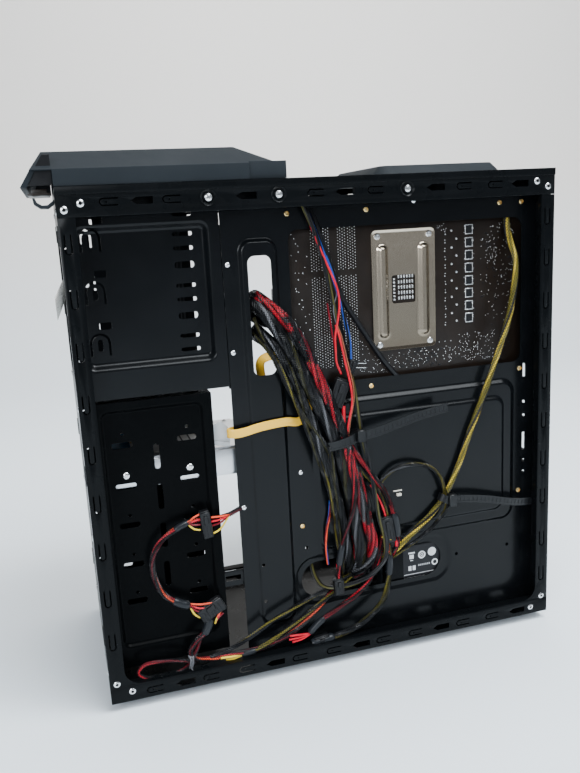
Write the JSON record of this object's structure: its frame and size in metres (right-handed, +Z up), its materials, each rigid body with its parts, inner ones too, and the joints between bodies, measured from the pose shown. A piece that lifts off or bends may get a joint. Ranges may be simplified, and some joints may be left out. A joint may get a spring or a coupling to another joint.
{
  "type": "desktop computer tower",
  "caption": "Open mid-size computer tower with its side panels and bezel off, showing tray, drive bays, fans, power supply, board and wiring.",
  "frame": {"origin": "under the middle of the whole object, on the surface that its feet stand on", "axes": "+X to the side behind the main board, +Y to the rear, +Z up"},
  "size_m": [0.202, 0.46, 0.4728],
  "materials": {
    "black_steel": "satin powder coat",
    "raw_steel": "bright zinc plate",
    "nickel": "satin nickel plate",
    "aluminium": "satin",
    "black_plastic": "fine texture",
    "fan_plastic": "smooth",
    "gloss_black": "polished",
    "rubber": "matt",
    "circuit_board": "solder resist",
    "cable_sleeve": "braided mesh",
    "yellow_jacket": "smooth",
    "lead_wires": "smooth"
  },
  "bodies": {
    "chassis": {"base_pan": "black_steel", "front_panel": "black_steel", "rear_panel": "black_steel", "top_panel": "black_steel", "motherboard_tray": "black_steel", "optical_bay_right_wall": "black_steel", "optical_bay_left_wall": "black_steel", "optical_bay_floor": "black_steel", "hard_drive_cage": "black_steel", "cage_brace": "black_steel", "bent_bay_tab": "raw_steel", "hard_drive": "aluminium", "foot_front_right": "rubber", "foot_front_left": "rubber", "foot_rear_right": "rubber", "foot_rear_left": "rubber", "control_housing": "black_plastic", "front_ports": "black_plastic", "front_io_board": "circuit_board", "bezel_latch": "black_plastic", "top_vent_grille": "black_plastic", "rear_fan_frame": "black_plastic", "top_fan_frame": "black_plastic", "cpu_fan_frame": "black_plastic", "motherboard": "circuit_board", "cpu_backplate": "nickel", "cpu_socket": "raw_steel", "processor": "aluminium", "cpu_heatsink": "aluminium", "memory_module_1": "gloss_black", "memory_module_2": "gloss_black", "chipset_heatsink": "aluminium", "rear_ports": "raw_steel", "port_shield": "raw_steel", "graphics_board": "circuit_board", "graphics_shroud": "black_plastic", "graphics_bracket": "raw_steel", "slot_cover_3": "black_steel", "slot_cover_4": "black_steel", "slot_cover_5": "black_steel", "slot_cover_6": "black_steel", "slot_cover_7": "black_steel", "power_supply_case": "black_steel", "power_inlet": "black_plastic", "cable_grommet": "black_plastic", "main_harness": "cable_sleeve", "spare_harness": "cable_sleeve", "cpu_power_lead": "cable_sleeve", "sata_data_cable": "yellow_jacket", "front_panel_leads": "lead_wires", "drive_power_chain": "cable_sleeve"},
    "power_button": {"power_button": "gloss_black"},
    "reset_button": {"reset_button": "gloss_black"},
    "rear_fan": {"rear_fan_rotor": "fan_plastic"},
    "top_fan": {"top_fan_rotor": "fan_plastic"},
    "cpu_fan": {"cpu_fan_rotor": "fan_plastic"},
    "graphics_fan": {"graphics_fan_rotor": "fan_plastic"},
    "power_supply_fan": {"power_supply_fan_rotor": "fan_plastic"},
    "power_rocker": {"power_rocker": "gloss_black"}
  },
  "joints": [
    {"name": "power_button_press", "type": "slide", "parent": "chassis", "child": "power_button", "axis": [0, 0, -1], "range_m": [0, 0.003], "stiffness_N_per_m": 300},
    {"name": "reset_button_press", "type": "slide", "parent": "chassis", "child": "reset_button", "axis": [0, 0, -1], "range_m": [0, 0.002], "stiffness_N_per_m": 200},
    {"name": "rear_fan_spin", "type": "hinge", "parent": "chassis", "child": "rear_fan", "pos_m": [-0.03, 0.2007, 0.358], "axis": [0, 1, 0], "continuous": true},
    {"name": "top_fan_spin", "type": "hinge", "parent": "chassis", "child": "top_fan", "pos_m": [0, 0.136, 0.4182], "axis": [0, 0, 1], "continuous": true},
    {"name": "cpu_fan_spin", "type": "hinge", "parent": "chassis", "child": "cpu_fan", "pos_m": [-0.021, 0.0399, 0.3435], "axis": [0, 1, 0], "continuous": true},
    {"name": "graphics_fan_spin", "type": "hinge", "parent": "chassis", "child": "graphics_fan", "pos_m": [0.012, 0.089, 0.2234], "axis": [0, 0, 1], "continuous": true},
    {"name": "power_supply_fan_spin", "type": "hinge", "parent": "chassis", "child": "power_supply_fan", "pos_m": [0, 0.144, 0.0116], "axis": [0, 0, 1], "continuous": true},
    {"name": "power_rocker_tilt", "type": "hinge", "parent": "chassis", "child": "power_rocker", "pos_m": [0.047, 0.2227, 0.041], "axis": [0, 0, 1], "range_deg": [0, 15]}
  ]
}
